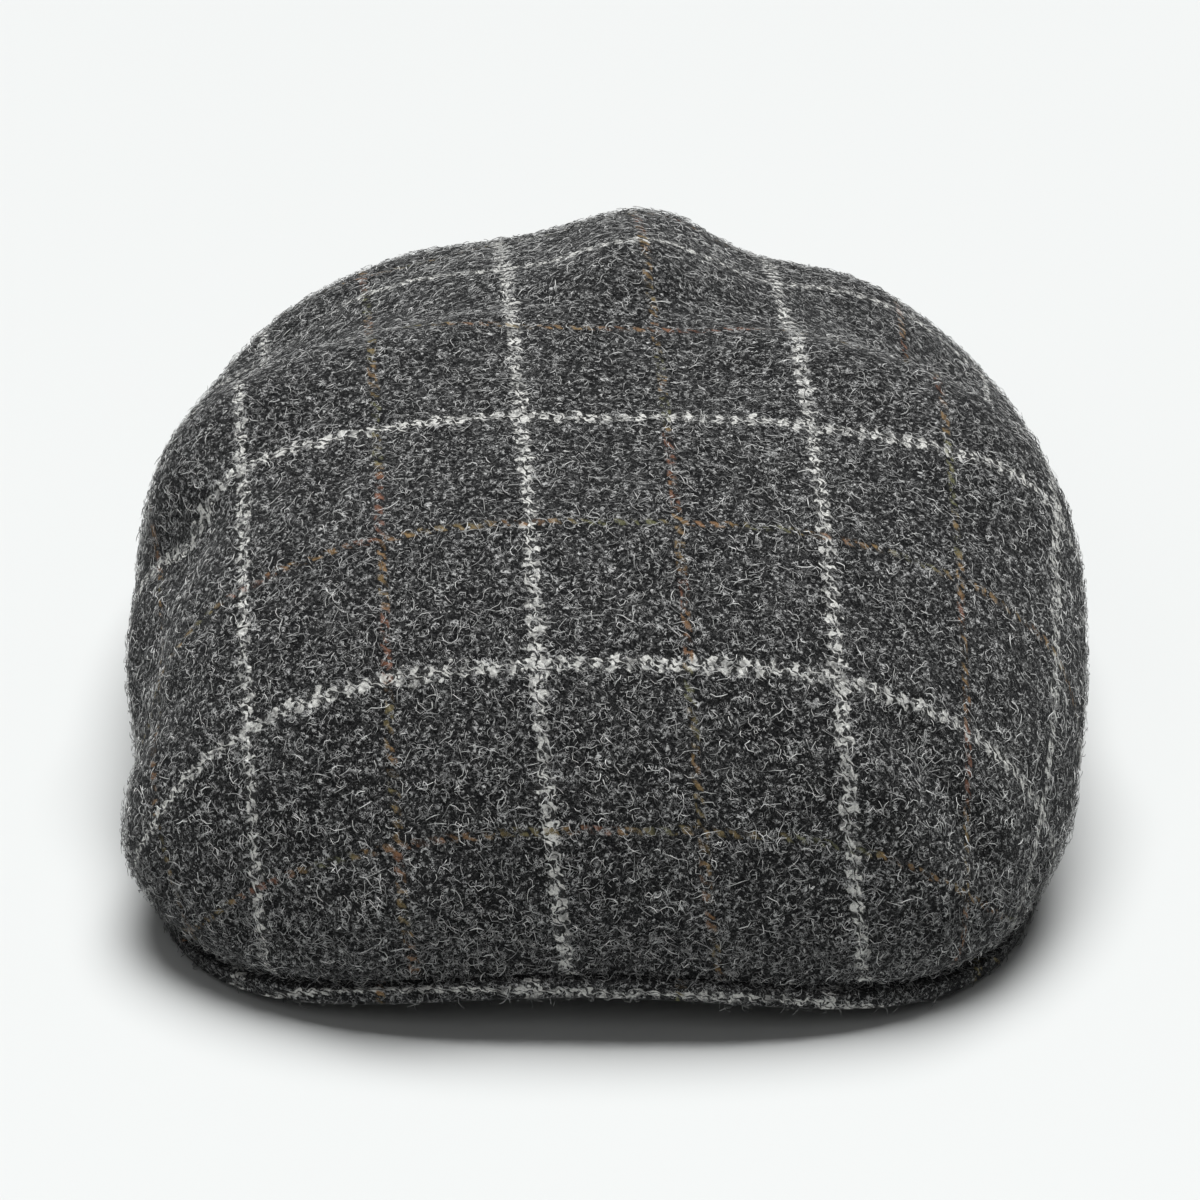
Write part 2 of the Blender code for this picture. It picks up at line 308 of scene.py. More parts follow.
def pressed(piece):
    mesh = piece.data
    moved = 0
    for vertex in mesh.vertices:
        place = vertex.co
        out = (place - HOLLOW).normalized()
        fade = soft_step(place.z, *PEAK_FADE)
        if place.y > FRONT_OF_SEAM:
            fade = fade * soft_step(place.z, *SEAM_FADE)
        push = UNEVEN * (noise.noise(place * SLOW) + 0.5 * noise.noise(place * QUICK))
        for start, end, spread, high in CREASES.values():
            start, run = Vector(start), Vector(end) - Vector(start)
            share = min(max((place - start).dot(run) / run.dot(run), 0.0), 1.0)
            away = (place - start - run * share).length
            if away < 3 * spread:
                push += high * math.exp(-((away / spread) ** 2))
        vertex.co = place + out * float(push * fade)
        moved += abs(push * fade) > 0.0002
    print(piece.name, moved, "of", len(mesh.vertices), "points pressed")


pressed(crown)

# %% [markdown]
# The crown's cloth was moulded while it was pulled forward, so its lines stay nearly straight as
# seen from above and only tilt a little. Its grain is therefore laid by measuring. Rays go out
# from inside the crown in slices from front to back, and the lengths between the points that
# they meet, added up, give how far along the cloth each point lies. Across, the width is used,
# with more cloth where the side turns down.

# %% Measure the crown in slices
FIRST_CROSSING = -0.043  # a pale line across lies here on the middle
SLICE_CENTRE = (-0.055, 0.018)  # rays start here, forward and up
SLICES = np.linspace(-0.094, 0.094, 48)
RAY_ANGLES = np.radians(np.linspace(-104, 104, 261))
RAY_STEP = 0.0002  # the next ray starts this far past the last point
DEPTHS = np.linspace(-0.12, 0.12, 121)
MIDDLE_SLICES = 0.03  # slices this near the middle give its length
BLEND_ROUNDS = 6  # how often each slice is blended with its neighbours


def outermost(tree, start, way):
    """The furthest point that a ray meets, as the shell has two walls."""
    met = None
    place, _, _, _ = tree.ray_cast(start, way)
    while place is not None:
        met = place
        place, _, _, _ = tree.ray_cast(place + way * RAY_STEP, way)
    return met


def slice_lengths(piece):
    """Lengths along the outside of each slice, 0 at the first crossing."""
    bpy.context.view_layer.update()
    tree = BVHTree.FromObject(piece, bpy.context.evaluated_depsgraph_get())
    table, middle_lengths = [], []
    for across in SLICES:
        start = Vector((across, *SLICE_CENTRE))
        reach = []
        for angle in RAY_ANGLES:
            place = outermost(tree, start, Vector((0.0, math.sin(angle), math.cos(angle))))
            reach.append((place - start).length if place is not None else math.nan)
        reach = np.array(reach)
        known = ~np.isnan(reach)
        reach = np.interp(RAY_ANGLES, RAY_ANGLES[known], reach[known])
        along = reach * np.sin(RAY_ANGLES) + SLICE_CENTRE[0]
        up = reach * np.cos(RAY_ANGLES)
        lengths = np.concatenate(([0.0], np.cumsum(np.hypot(np.diff(along), np.diff(up)))))
        lengths = lengths - np.interp(FIRST_CROSSING, along, lengths)
        table.append(lengths)
        if abs(across) < MIDDLE_SLICES:
            middle_lengths.append(np.interp(DEPTHS, along, lengths))
    table = np.array(table)
    for _ in range(BLEND_ROUNDS):
        table[1:-1] = (table[:-2] + 2 * table[1:-1] + table[2:]) / 4
    return table, np.mean(middle_lengths, axis=0)


slice_table, middle_lengths = slice_lengths(crown)
print("cloth over the middle", round(float(np.ptp(middle_lengths)), 3), "m long")

# %% [markdown]
# A point's angle in its slice picks the length along the cloth. Over the top the lines across
# stay square to the middle, so there the middle's own length serves all slices. Behind the top
# the cloth was drawn in, so a line bows back on both sides of the middle ridge.

# %% Along the crown's cloth
FACE_TO_TOP = (-0.112, -0.085)  # depths between which the front face turns into the top
TOP_TO_BACK = (0.080, 0.110)
CROSS_TILT = 0.03  # how much the lines across tilt
BACK_BOW = 0.030  # how far a line across bows back behind the top
BOW_REACH = 0.045
BOW_DEPTHS = (-0.040, 0.040)  # it grows between these, and fades by BOW_FADE between the next
BOW_FADE_DEPTHS = (0.050, 0.115)
BOW_FADE = 0.8
TEMPLE_SHIFT = 0.009  # more of that in the hollow over the right temple
TEMPLE_WIDTHS, TEMPLE_DEPTHS = (0.084, 0.098), (-0.10, -0.06)


def measured_along(x, y, z):
    """The length in the table for each point, blended from the slices on both sides."""
    angle = np.arctan2(y - SLICE_CENTRE[0], z - SLICE_CENTRE[1])
    column = np.clip((x - SLICES[0]) / (SLICES[1] - SLICES[0]), 0, len(SLICES) - 1.001)
    row = (angle - RAY_ANGLES[0]) / (RAY_ANGLES[1] - RAY_ANGLES[0])
    row = np.clip(row, 0, len(RAY_ANGLES) - 1.001)
    i, j = column.astype(int), row.astype(int)
    s, t = column - i, row - j
    return (
        slice_table[i, j] * (1 - s) * (1 - t) + slice_table[i + 1, j] * s * (1 - t)
        + slice_table[i, j + 1] * (1 - s) * t + slice_table[i + 1, j + 1] * s * t
    )


def along_cloth(x, y, z):
    level = soft_step(y, *FACE_TO_TOP) * (1 - soft_step(y, *TOP_TO_BACK))
    v = measured_along(x, y, z) * (1 - level) + np.interp(y, DEPTHS, middle_lengths) * level
    v = v - CROSS_TILT * x
    bow = BACK_BOW * (1 - np.exp(-((x / BOW_REACH) ** 2)))
    bow = bow * soft_step(y, *BOW_DEPTHS) * (1 - BOW_FADE * soft_step(y, *BOW_FADE_DEPTHS))
    temple = TEMPLE_SHIFT * soft_step(-x, *TEMPLE_WIDTHS) * soft_step(y, *TEMPLE_DEPTHS)
    return v - bow - temple


crown_places = np.empty(len(crown.data.vertices) * 3)
crown.data.vertices.foreach_get("co", crown_places)
crown_x, crown_y, crown_z = crown_places.reshape(-1, 3).T
crown_v = along_cloth(crown_x, crown_y, crown_z)
print("crown's cloth", round(float(np.ptp(crown_v)), 3), "m from front to back")

# %% [markdown]
# Across, the width alone would smear the check where the side turns down. So the drop below the
# middle line adds cloth there. Low on the front the lines lean to the left of the cap.

# %% Across the crown's cloth, and the map
CHECK_ACROSS = 0.0605  # repeat of the check, from one pale line to the next
CHECK_ALONG = 0.0680
GRAIN_MIDDLE = -0.016  # where a pale line runs, level with the widest place
GRAIN_TILT = 0.080  # how much that line tilts, metres across for each metre forward
FRONT_LEAN = 1.1  # how fast the lines lean below the second line across
MIDDLE_STRIP = 0.012  # this near the middle line its height is measured
SHOULDER = (0.055, 0.097)  # from here out the cloth turns down
SIDE_CLOTH = 0.36  # more cloth for each metre that the side has dropped
LOW_SIDE = 0.040  # below this drop there is LOW_SIDE_CLOTH more
LOW_SIDE_CLOTH = 0.55


def drop_below_middle(x, y, z):
    near_middle = np.abs(x) < MIDDLE_STRIP
    order = np.argsort(y[near_middle])
    ys, zs = y[near_middle][order], z[near_middle][order]
    bins = np.linspace(ys[0], ys[-1], 60)
    tops = [zs[(ys >= low) & (ys <= high)].max() for low, high in zip(bins[:-1], bins[1:])]
    return np.interp(y, (bins[:-1] + bins[1:]) / 2, tops) - z


def across_cloth(x, y, z, v):
    low = np.maximum(-v - CHECK_ALONG, 0.0)
    lean = FRONT_LEAN * low * low * np.clip((x + 0.1) / 0.08, 0.0, 1.0)
    middle = GRAIN_MIDDLE - GRAIN_TILT * (y - FIRST_CROSSING) + lean
    drop = drop_below_middle(x, y, z)
    more = SIDE_CLOTH * drop + LOW_SIDE_CLOTH * np.maximum(drop - LOW_SIDE, 0.0)
    return x - middle + np.sign(x) * soft_step(np.abs(x), *SHOULDER) * np.maximum(more, 0.0)


def cloth_layer(piece):
    layers = piece.data.uv_layers
    return layers[0] if layers else layers.new(name="cloth")


def lay_map(piece, u, v):
    """Writes a map that is given for each vertex."""
    layer = cloth_layer(piece)
    corner = np.empty(len(piece.data.loops), dtype=np.int32)
    piece.data.loops.foreach_get("vertex_index", corner)
    layer.data.foreach_set("uv", np.column_stack((u[corner], v[corner])).reshape(-1))
    print(piece.name, "cloth", round(float(np.ptp(u)), 3), "by", round(float(np.ptp(v)), 3), "m")


lay_map(crown, across_cloth(crown_x, crown_y, crown_z, crown_v), crown_v)

# %% [markdown]
# The peak's cloth is drawn over its board from above to below, so its grain is laid by a rule:
# across is the width, and the way forward runs on down the rim.

# %% Grain of the peak
RIM_LINE = -0.1348  # depth and height of the middle of the rim's face
RIM_HEIGHT = 0.0114
RIM_SPREAD = 1.7  # over 1, the pale line across comes out thinner on the rim
RIM_SHIFT = 0.012  # where the lines along meet the rim
RIM_TILT = 0.04


def lay_peak_grain(piece):
    layer = cloth_layer(piece)
    for loop in piece.data.loops:
        place = piece.data.vertices[loop.vertex_index].co
        forward = (place.y - RIM_LINE) + (place.z - RIM_HEIGHT)
        layer.data[loop.index].uv = (place.x + RIM_SHIFT, RIM_SPREAD * forward + RIM_TILT * place.x)
    print(piece.name, "grain laid")


lay_peak_grain(peak)
for piece, node in (
    (crown, "crown_top"),
    (left_side, "side_panel_left"),
    (right_side, "side_panel_right"),
    (peak, "peak"),
):
    piece.data.uv_layers[0].name = "cloth"
    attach(piece, "root")
    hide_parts(node)

# %% [markdown]
# ## The tweed
# Tweed is woven from yarns whose fibres were dyed before spinning, so each yarn is a mixture of
# near black, greys and a little white. The weave is a 2/2 twill, whose yarns climb in slanting
# steps. Pale yarns make the window panes, and thin coloured yarns run midway between them.
# The pattern reads the flat cloth's own map, so that it follows the folds.

# %% Small helpers for node trees
class Tree:
    """Builds nodes and links with short calls."""

    def __init__(self, material):
        self.tree = material.node_tree
        self.shader = self.tree.nodes["Principled BSDF"]

    def node(self, kind, inputs=None, **settings):
        made = self.tree.nodes.new(kind)
        for name, value in settings.items():
            setattr(made, name, value)
        for key, value in (inputs or {}).items():
            self.give(made.inputs[key], value)
        return made

    def give(self, socket, value):
        if hasattr(value, "is_linked"):
            self.tree.links.new(value, socket)
        else:
            socket.default_value = value

    def sum(self, operation, *values):
        made = self.tree.nodes.new("ShaderNodeMath")
        made.operation = operation
        for index, value in enumerate(values):
            self.give(made.inputs[index], value)
        return made.outputs[0]

    def noise(self, vector, scale, detail=2.0, roughness=0.5, distortion=0.0):
        return self.node("ShaderNodeTexNoise", {
            "Vector": vector, "Scale": scale, "Detail": detail,
            "Roughness": roughness, "Distortion": distortion,
        }).outputs["Fac"]

    def between(self, value, low, high, out_low=0.0, out_high=1.0):
        return self.node("ShaderNodeMapRange", {
            "Value": value, "From Min": low, "From Max": high,
            "To Min": out_low, "To Max": out_high,
        }, interpolation_type="SMOOTHSTEP").outputs["Result"]

    def mixed(self, factor, first, second):
        made = self.node("ShaderNodeMix", data_type="RGBA")
        self.give(made.inputs[0], factor)
        self.give(made.inputs[6], first)
        self.give(made.inputs[7], second)
        return made.outputs[2]


print("helpers ready")

# %% [markdown]
# The stripes are written as distances: how far a point lies from the nearest line of the check.
# A pale yarn shows only where it passes over, so the stripe is cut into slanting dashes.

# %% Lines and dashes
DASH = 0.0033  # from one slanting dash to the next
DASH_SLANT = 0.75


def line_offset(tree, place, repeat, shift):
    """Distance to the nearest line of the check, in metres, less than 0 on its low side."""
    moved = tree.sum("ADD", place, shift + repeat * 20.5)
    return tree.sum("SUBTRACT", tree.sum("MODULO", moved, repeat), repeat / 2)


def dashes(tree, offset, along, rough):
    """Two rows of slanting dashes on a pale line, one row half a step behind the other."""
    turn = 2 * math.pi / DASH
    slant = tree.sum("ADD", tree.sum("MULTIPLY", tree.sum("ADD", offset, rough), DASH_SLANT), along)
    half_step = tree.between(offset, -0.0002, 0.0002, 0.0, math.pi)
    wave = tree.sum("SINE", tree.sum("ADD", tree.sum("MULTIPLY", slant, turn), half_step))
    return tree.between(wave, -0.10, 0.40, 0.03, 1.0)


print("dashes", DASH * 1000, "mm apart")

# %% [markdown]
# Real yarns wander, so the map is nudged by slow noise before any line is drawn. The mixture of
# fibres is worked out in space instead of on the map, so that no stretch shows in it.

# %% A cloth's map and noises
class Cloth(Tree):
    """A tweed being made: its own map, nudged as yarns wander, and noises in space."""

    def __init__(self, material):
        super().__init__(material)
        flat = self.node("ShaderNodeUVMap", uv_map="cloth").outputs["UV"]
        self.place = self.node("ShaderNodeTexCoord").outputs["Object"]
        split = self.node("ShaderNodeSeparateXYZ", {"Vector": flat})
        nudge = self.spread(self.noise(flat, 90.0, 3.0), 0.0022)
        self.u = self.sum("ADD", split.outputs["X"], nudge)
        self.v = self.sum("ADD", split.outputs["Y"], nudge)
        self.curl = self.noise(self.shifted(7.0), 1500.0, 2.0, 0.7, 2.5)
        self.rough = self.spread(self.noise(self.shifted(51.0), 520.0, 1.5), 0.0046)

    def shifted(self, step, scale=(1.0, 1.0, 1.0)):
        return self.node("ShaderNodeMapping", {
            "Vector": self.place, "Location": (0.0, 0.0, step), "Scale": scale,
        }).outputs[0]

    def spread(self, value, width):
        """Turns 0 to 1 into a number round 0, width wide."""
        return self.sum("MULTIPLY", self.sum("SUBTRACT", value, 0.5), width)


print("the check repeats every", CHECK_ACROSS * 1000, "by", CHECK_ALONG * 1000, "mm")

# %% [markdown]
# From near, the ground of the cloth is a mixture: blots of paler wool, and single curly hairs. A
# hair is drawn as a thin line where a noise passes its middle, and a second noise breaks it up.

# %% Mixture of fibres
CURLS = ((21.0, 620.0, 0.040), (33.0, 900.0, 0.050), (45.0, 1300.0, 0.060))  # shift, size, width


def melange(tree):
    """How pale the mixture of fibres is: blots along both yarns, slow drifts and curly hairs."""
    along = tree.noise(tree.shifted(0.0, (1.8, 1.0, 1.0)), 1000.0, 3.0, 0.7, 1.2)
    across = tree.noise(tree.shifted(3.0, (1.0, 1.8, 1.8)), 1000.0, 3.0, 0.7, 1.2)
    drift = tree.noise(tree.shifted(11.0), 120.0, 2.0, 0.6)
    fibre = tree.sum("MAXIMUM", along, across)
    light = tree.between(tree.sum("ADD", fibre, tree.spread(tree.curl, 0.70)), 0.50, 0.80)
    light = tree.sum("MULTIPLY", light, tree.between(drift, 0.25, 0.75, 0.10, 0.36))
    # A hair is a thin line where a noise passes its middle, broken up by another noise
    for level, size, width in CURLS:
        wave = tree.noise(tree.shifted(level), size, 1.5, 0.5, 1.2)
        off_middle = tree.sum("ABSOLUTE", tree.sum("SUBTRACT", wave, 0.5))
        line = tree.between(off_middle, width * 0.3, width, 1.0, 0.0)
        broken = tree.between(
            tree.noise(tree.shifted(level + 5.0), size * 0.8, 1.0), 0.535, 0.66,
        )
        light = tree.sum("MAXIMUM", light, tree.sum("MULTIPLY", line, broken))
    return light


print(len(CURLS), "sizes of curly hair")

# %% [markdown]
# The pale lines are a few yarns wide, and show as two rows of dashes. Milling has pulled hairs
# over them, so their edges are ragged, and some places are worn.

# %% Window panes
PALE_LINE = (0.0012, 0.0017)  # half widths: full within the first, gone beyond the second


def window_pane(tree, pale_yarn_painted_shade):
    """How much pale yarn shows: both ways, in dashes and with ragged edges."""
    edge = tree.spread(tree.noise(tree.shifted(5.0), 900.0, 2.0, 0.6, 1.0), 0.0016)
    shown = []
    for across, along, repeat in (
        (tree.u, tree.v, CHECK_ACROSS),
        (tree.v, tree.u, CHECK_ALONG),
    ):
        offset = line_offset(tree, tree.sum("ADD", across, tree.rough), repeat, 0.0)
        near = tree.sum("ADD", tree.sum("ABSOLUTE", offset), edge)
        on = tree.between(near, *PALE_LINE, 1.0, 0.0)
        shown.append(tree.sum("MULTIPLY", on, dashes(tree, offset, along, tree.rough)))
    # A number below 1 dims the pale lines: this is painted shade.
    pane = tree.sum("MULTIPLY", tree.sum("MAXIMUM", *shown), pale_yarn_painted_shade)
    pane = tree.sum("MULTIPLY", pane, tree.between(tree.curl, 0.30, 0.50, 0.30, 1.0))
    worn = tree.between(tree.noise(tree.shifted(61.0), 420.0, 2.0), 0.34, 0.50, 0.40, 1.0)
    return tree.sum("MULTIPLY", pane, worn)


print("pale lines", 2 * PALE_LINE[0] * 1000, "mm wide")

# %% [markdown]
# One or two coloured yarns run midway between the pale lines. They show only in patches, and
# their colour changes slowly from rust to mustard and olive.

# %% Coloured yarns
WARP_HUE, WEFT_HUE = (0.0007, 0.0012), (0.0006, 0.0011)  # half widths, as for the pale lines
RUST = (0.33, 0.150, 0.092, 1)
MUSTARD = (0.42, 0.275, 0.125, 1)
OLIVE = (0.22, 0.225, 0.110, 1)


def coloured_yarns(tree):
    """How much of the thin yarns midway shows, and their colour there."""
    near = [
        tree.between(
            tree.sum("ABSOLUTE", line_offset(tree, place, repeat, repeat / 2)),
            *width, 1.0, 0.0,
        )
        for place, repeat, width in (
            (tree.u, CHECK_ACROSS, WARP_HUE),
            (tree.v, CHECK_ALONG, WEFT_HUE),
        )
    ]
    along = tree.sum("ADD", tree.sum("ADD", tree.u, tree.v), tree.rough)
    step = tree.sum("SINE", tree.sum("MULTIPLY", along, 2 * math.pi / DASH))
    patches = tree.between(tree.noise(tree.shifted(9.0), 480.0, 2.0), 0.40, 0.58, 0.06, 0.68)
    patchy = tree.sum("MULTIPLY", tree.between(step, -0.4, 0.5), patches)
    patchy = tree.sum("MULTIPLY", patchy, tree.between(tree.curl, 0.32, 0.55, 0.35, 1.0))
    hue = tree.node("ShaderNodeValToRGB", {"Fac": tree.noise(tree.shifted(2.0), 60.0, 1.0)})
    ramp = hue.color_ramp
    ramp.elements[0].position, ramp.elements[0].color = 0.36, RUST
    ramp.elements[1].position, ramp.elements[1].color = 0.64, OLIVE
    ramp.elements.new(0.5).color = MUSTARD
    return tree.sum("MULTIPLY", tree.sum("MAXIMUM", *near), patchy), hue.outputs["Color"]


print("coloured yarns", 2 * WARP_HUE[0] * 1000, "mm wide")

# %% [markdown]
# The colour is built in layers, each laid over the last: the mixture of fibres, the dark steps of
# the twill, the pale panes and the coloured yarns. Milled wool scatters light and has almost no
# gloss, so it is very rough, with a faint sheen from hairs that stand up. Bump gives the nap.

# %% Tweed materials
YARN = 0.00085  # thickness of one
NEAR_BLACK = (0.0030, 0.0032, 0.0036)
GREY_FIBRE = (0.60, 0.605, 0.60)
PALE_YARN = (0.85, 0.85, 0.815, 1)
BETWEEN_YARNS = (0.004, 0.004, 0.005, 1)


# The two numbers after the name darken the whole cloth and dim its pale lines; below 1 they paint
# shade into the colour.
def tweed(name, painted_shade=1.0, pale_yarn_painted_shade=1.0):
    material = bpy.data.materials.new(name)
    material.use_nodes = True
    tree = Cloth(material)
    light = melange(tree)
    dark_end, pale_end = (
        tuple(value * painted_shade for value in tone) + (1,) for tone in (NEAR_BLACK, GREY_FIBRE)
    )
    ground = tree.mixed(light, dark_end, pale_end)
    steps = tree.sum("MULTIPLY", tree.sum("ADD", tree.u, tree.v), 2 * math.pi / (YARN * 2))
    twill = tree.sum("SINE", steps)
    ground = tree.mixed(tree.between(twill, -1.0, 1.0, 0.0, 0.22), ground, BETWEEN_YARNS)
    pane = window_pane(tree, pale_yarn_painted_shade)
    ground = tree.mixed(pane, ground, PALE_YARN)
    amount, hue = coloured_yarns(tree)
    ground = tree.mixed(amount, ground, hue)
    tree.give(tree.shader.inputs["Base Color"], ground)
    tree.shader.inputs["Roughness"].default_value = 0.95
    tree.shader.inputs["Specular IOR Level"].default_value = 0.10
    tree.shader.inputs["Sheen Weight"].default_value = 0.06
    tree.shader.inputs["Sheen Roughness"].default_value = 0.6
    tree.shader.inputs["Sheen Tint"].default_value = (0.75, 0.78, 0.80, 1)
    nap = tree.sum("ADD", tree.sum("MULTIPLY", twill, 0.18), tree.sum("MULTIPLY", light, 0.6))
    nap = tree.sum("ADD", nap, tree.sum("MULTIPLY", pane, 0.25))
    bump = tree.node("ShaderNodeBump", {"Strength": 0.75, "Distance": 0.0006, "Height": nap})
    tree.give(tree.shader.inputs["Normal"], bump.outputs["Normal"])
    print(name, len(material.node_tree.nodes), "nodes")
    return material


crown_tweed = tweed("crown tweed")
side_tweed = tweed("side tweed")
# The peak's copy is painted darker, with dimmer pale lines: painted shade for the rim, which faces
# forward, away from the lamp behind the cap.
peak_tweed_with_painted_shade = tweed("peak tweed", 0.75, 0.8)
for piece, material in (
    (crown, crown_tweed),
    (left_side, side_tweed),
    (right_side, side_tweed),
    (peak, peak_tweed_with_painted_shade),
):
    piece.data.materials.clear()
    piece.data.materials.append(material)

# %% [markdown]
# ## Stray fibres
# Milled wool is covered in short curly fibres, which catch the light and blur the outline.
# Blender's hair would be easier to grow, but an exported model holds only meshes. So each fibre
# is real geometry: a bent tube of three sides, thick enough to see and rooted in the cloth. The
# roots are scattered over the outside only, by area.

# %% Scatter the roots
EDGE_TOP = 0.026  # the strip of the crown next to the peak's rim: below this height
EDGE_BACK = -0.060  # and forward of this depth
PEAK_SHOWN = -0.045  # the peak grows fibres forward of this depth


def outside_of(piece, middle, normal, near_front_edge):
    """Which faces may grow fibres."""
    if piece is peak:
        return (middle[:, 1] < PEAK_SHOWN) & (normal[:, 2] > -0.85) & (normal[:, 1] < 0.2)
    out = ((middle - np.array(HOLLOW)) * normal).sum(axis=1) > 0.0
    if near_front_edge:
        out = out & (middle[:, 2] < EDGE_TOP) & (middle[:, 1] < EDGE_BACK) & (normal[:, 1] < 0.1)
    return out


def triangle_corners(mesh):
    mesh.calc_loop_triangles()
    corners = np.empty(len(mesh.vertices) * 3)
    mesh.vertices.foreach_get("co", corners)
    corners = corners.reshape(-1, 3)
    triangles = np.empty(len(mesh.loop_triangles) * 3, dtype=np.int32)
    mesh.loop_triangles.foreach_get("vertices", triangles)
    triangles = triangles.reshape(-1, 3)
    return (corners[triangles[:, i]] for i in range(3))


def roots(chance, piece, count, near_front_edge):
    """Places by chance on the piece's outside, and the way out from each."""
    a, b, c = triangle_corners(piece.data)
    normal = np.cross(b - a, c - a)
    area = np.linalg.norm(normal, axis=1) / 2
    normal /= 2 * area[:, None] + 1e-20
    weight = area * outside_of(piece, (a + b + c) / 3, normal, near_front_edge)
    chosen = chance.choice(len(area), size=count, p=weight / weight.sum())
    r1, r2 = chance.random((2, count))
    root = np.sqrt(r1)
    start = (
        (1 - root)[:, None] * a[chosen]
        + (root * (1 - r2))[:, None] * b[chosen]
        + (root * r2)[:, None] * c[chosen]
    )
    return start, normal[chosen]


print("helpers for the roots ready")

# %% [markdown]
# A fibre rises a little from the cloth and levels off, and turns as it goes. Its turn also
# changes by chance from step to step, so that it curls instead of following an arc.

# %% Curl the fibres
FIBRE_POINTS = 4
ROOT_HEIGHT = 0.2  # height of a fibre's middle over the cloth at its root, of its thickness
TURN = 1.2  # usual turn at a step, in radians
TURN_CHANGE = 0.35  # usual change of that turn from step to step


def curled(chance, start, up, length, thickness, lift):
    """Points along each fibre, and how thick it is."""
    count = len(start)
    side = np.cross(up, chance.normal(size=(count, 3)))
    side /= np.linalg.norm(side, axis=1)[:, None]
    ahead = np.cross(up, side)
    long = chance.uniform(*length, count)
    thick = chance.uniform(*thickness, count)
    high = chance.uniform(*lift, count)
    bend = chance.normal(0.0, TURN, count)
    points = []
    heading = np.zeros(count)
    place = start + up * (thick * ROOT_HEIGHT)[:, None]
    for step in range(FIBRE_POINTS):
        rise = np.sin(math.pi * (step + 0.35) / FIBRE_POINTS * 0.75)
        points.append(place + up * (high * rise)[:, None])
        way = ahead * np.cos(heading)[:, None] + side * np.sin(heading)[:, None]
        place = place + way * (long / (FIBRE_POINTS - 1))[:, None]
        heading = heading + bend + chance.normal(0.0, TURN_CHANGE, count)
    return np.array(points), thick


print("a fibre has", FIBRE_POINTS, "points")

# %% [markdown]
# A tube of three sides is the plainest closed body that a line can get. All tubes of one growth
# share one mesh, which numpy fills at once, because adding them one by one would take minutes.

# %% Make tubes of them
FIBRE_SIDES = 3
TIP = 0.6  # thickness at the tip, as a share
FLOOR_CLEAR = 0.0002  # no fibre reaches lower


def tubes(points, thick, up):
    """Corners of the tubes, by fibre, point and side."""
    vertices = np.empty((len(thick), FIBRE_POINTS, FIBRE_SIDES, 3))
    for step in range(FIBRE_POINTS):
        way = points[min(step + 1, FIBRE_POINTS - 1)] - points[max(step - 1, 0)]
        way /= np.linalg.norm(way, axis=1)[:, None]
        one = np.cross(way, up)
        one /= np.linalg.norm(one, axis=1)[:, None] + 1e-12
        two = np.cross(one, way)
        slim = thick / 2 * (TIP if step == FIBRE_POINTS - 1 else 1.0)
        for corner in range(FIBRE_SIDES):
            turn = 2 * math.pi * corner / FIBRE_SIDES
            vertices[:, step, corner] = points[step] + slim[:, None] * (
                one * math.cos(turn) + two * math.sin(turn)
            )
    vertices[..., 2] = np.maximum(vertices[..., 2], FLOOR_CLEAR)
    return vertices


def tube_triangles():
    """Triangles of one tube with both ends closed."""
    faces = []
    for step in range(FIBRE_POINTS - 1):
        for corner in range(FIBRE_SIDES):
            here = step * FIBRE_SIDES
            after = (corner + 1) % FIBRE_SIDES
            one, two = here + corner, here + after
            three, four = two + FIBRE_SIDES, one + FIBRE_SIDES
            faces += [(one, two, three), (one, three, four)]
    last = (FIBRE_POINTS - 1) * FIBRE_SIDES
    faces += [(2, 1, 0), (last, last + 1, last + 2)]
    return np.array(faces)


def tube_mesh(name, vertices):
    count = len(vertices)
    step = FIBRE_POINTS * FIBRE_SIDES
    triangles = (tube_triangles()[None] + (np.arange(count) * step)[:, None, None]).reshape(-1)
    data = bpy.data.meshes.new(name)
    data.vertices.add(count * step)
    data.vertices.foreach_set("co", vertices.reshape(-1))
    data.loops.add(len(triangles))
    data.loops.foreach_set("vertex_index", triangles)
    data.polygons.add(len(triangles) // 3)
    data.polygons.foreach_set("loop_start", np.arange(0, len(triangles), 3))
    data.update(calc_edges=True)
    data.validate()
    return data


def fibres(name, piece, count, seed, length, thickness, lift, material, near_front_edge=False):
    """Curly fibres on the piece's outside. length, thickness and lift are (least, most)."""
    chance = np.random.default_rng(seed)
    start, up = roots(chance, piece, count, near_front_edge)
    points, thick = curled(chance, start, up, length, thickness, lift)
    data = tube_mesh(name, tubes(points, thick, up))
    made = bpy.data.objects.new(name, data)
    bpy.context.scene.collection.objects.link(made)
    data.materials.append(material)
    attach(made, "root")
    print(name, count, "fibres,", len(data.polygons), "triangles")


print("a tube has", len(tube_triangles()), "triangles")

# %% [markdown]
# Fibres differ in tone from one to the next. Their material takes its tone from a fine noise in
# space, which changes within about two millimetres, so that neighbours differ.

# %% Fibre materials
def fibre_material(name, dark, pale):
    material = bpy.data.materials.new(name)
    material.use_nodes = True
    tree = Tree(material)
    place = tree.node("ShaderNodeTexCoord").outputs["Object"]
    tone = tree.between(tree.noise(place, 420.0, 2.0, 0.6), 0.35, 0.65)
    tree.give(tree.shader.inputs["Base Color"], tree.mixed(tone, dark, pale))
    tree.shader.inputs["Roughness"].default_value = 0.6
    tree.shader.inputs["Specular IOR Level"].default_value = 0.3
    return material


pale_wool = fibre_material("pale wool", (0.42, 0.425, 0.42, 1), (0.95, 0.955, 0.94, 1))
mid_wool = fibre_material("mid wool", (0.05, 0.051, 0.053, 1), (0.40, 0.405, 0.40, 1))
dark_wool = fibre_material("dark wool", (0.003, 0.003, 0.004, 1), (0.05, 0.051, 0.053, 1))

# %% [markdown]
# Eight growths of fibres follow. The top has four: pale, mid, dark, and a few thick pale tufts.
# The strip beside the peak has more that stand up, because they veil the edge there, as they do
# on the real cap.

